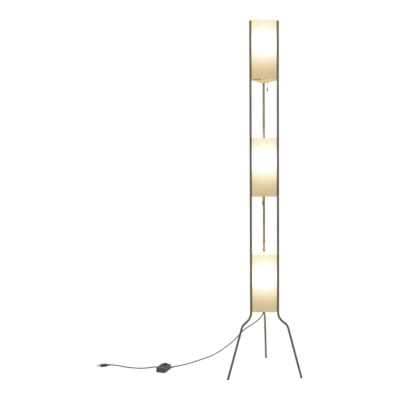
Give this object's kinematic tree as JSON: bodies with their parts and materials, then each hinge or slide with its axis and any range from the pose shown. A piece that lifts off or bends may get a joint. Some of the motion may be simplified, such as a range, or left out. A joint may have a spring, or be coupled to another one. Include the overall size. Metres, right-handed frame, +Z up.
{
  "type": "three-post floor lamp",
  "caption": "Free-standing floor lamp: slender bent tube posts carry stacked three-lobed shades with pull-chain sockets, and a cord leads to a slide dimmer and plug.",
  "frame": {"origin": "on the floor, at the middle of the box around the three standing legs", "axes": "+Z up the posts, +X to the right as seen from the front, +Y away from the front, towards the rear post"},
  "size_m": [0.9201, 0.3252, 1.524],
  "materials": {
    "post": "aged bronze lacquer, low satin",
    "glide": "dark brown, satin",
    "shade": "translucent ivory sheet, lit from inside, fine mottle",
    "fixing": "dull",
    "arm": "aged bronze lacquer",
    "nipple": "plain",
    "socket_brass": "satin",
    "socket_core": "unglazed",
    "contact": "bright",
    "chain": "nickel plated, slightly dulled",
    "bulb_glass": "frosted white",
    "bulb_base": "plain",
    "wire": "dark brown",
    "cord": "dark brown, low sheen",
    "relief": "matt",
    "case": "fine texture",
    "knob": "half gloss",
    "board": "resin board with parts",
    "case_screw": "zinc plated",
    "plug": "moulded, low sheen",
    "blade": "bright"
  },
  "bodies": {
    "lamp": {"left_post": "post", "right_post": "post", "rear_post": "post", "post_caps": "post", "foot_glides": "glide", "wiring": "wire", "cord_relief": "relief", "lamp_cord": "cord", "mains_cord": "cord", "dimmer_base": "case", "dimmer_top": "case", "dimmer_board": "board", "dimmer_screws": "case_screw", "dimmer_bushes": "relief", "plug_body": "plug", "plug_blades": "blade", "lower_shade": "shade", "lower_shade_screws": "fixing", "lower_socket_arm": "arm", "lower_socket_nipple": "nipple", "lower_socket_cap": "socket_brass", "lower_socket_shell": "socket_brass", "lower_socket_core": "socket_core", "lower_contact_shell": "contact", "lower_chain_guide": "chain", "lower_bulb_base": "bulb_base", "lower_bulb_glass": "bulb_glass", "middle_shade": "shade", "middle_shade_screws": "fixing", "middle_socket_arm": "arm", "middle_socket_nipple": "nipple", "middle_socket_cap": "socket_brass", "middle_socket_shell": "socket_brass", "middle_socket_core": "socket_core", "middle_contact_shell": "contact", "middle_chain_guide": "chain", "middle_bulb_base": "bulb_base", "middle_bulb_glass": "bulb_glass", "upper_shade": "shade", "upper_shade_screws": "fixing", "upper_socket_arm": "arm", "upper_socket_nipple": "nipple", "upper_socket_cap": "socket_brass", "upper_socket_shell": "socket_brass", "upper_socket_core": "socket_core", "upper_contact_shell": "contact", "upper_chain_guide": "chain", "upper_bulb_base": "bulb_base", "upper_bulb_glass": "bulb_glass"},
    "dimmer_slide": {"dimmer_slider": "knob"},
    "lower_pull": {"lower_pull_link": "chain"},
    "lower_chain": {"lower_bead_chain": "chain", "lower_chain_pendant": "chain"},
    "middle_pull": {"middle_pull_link": "chain"},
    "middle_chain": {"middle_bead_chain": "chain", "middle_chain_pendant": "chain"},
    "upper_pull": {"upper_pull_link": "chain"},
    "upper_chain": {"upper_bead_chain": "chain", "upper_chain_pendant": "chain"}
  },
  "joints": [
    {"name": "lower_pull_slide", "type": "slide", "parent": "lamp", "child": "lower_pull", "axis": [0, 0, -1], "range_m": [0, 0.008], "stiffness_N_per_m": 600, "springref_m": -0.004},
    {"name": "lower_chain_swing", "type": "hinge", "parent": "lower_pull", "child": "lower_chain", "pos_m": [0.00231, -0.07005, 0.3196], "axis": [0, 1, 0], "range_deg": [-10, 10]},
    {"name": "middle_pull_slide", "type": "slide", "parent": "lamp", "child": "middle_pull", "axis": [0, 0, -1], "range_m": [0, 0.008], "stiffness_N_per_m": 600, "springref_m": -0.004},
    {"name": "middle_chain_swing", "type": "hinge", "parent": "middle_pull", "child": "middle_chain", "pos_m": [-0.00636, -0.06909, 0.8196], "axis": [0, 1, 0], "range_deg": [-10, 10]},
    {"name": "upper_pull_slide", "type": "slide", "parent": "lamp", "child": "upper_pull", "axis": [0, 0, -1], "range_m": [0, 0.008], "stiffness_N_per_m": 600, "springref_m": -0.004},
    {"name": "upper_chain_swing", "type": "hinge", "parent": "upper_pull", "child": "upper_chain", "pos_m": [0.01459, -0.06615, 1.3196], "axis": [0, 1, 0], "range_deg": [-10, 10]},
    {"name": "dimmer_slide", "type": "slide", "parent": "lamp", "child": "dimmer_slide", "axis": [-0.284, -0.9588, 0], "range_m": [0, 0.026]}
  ]
}
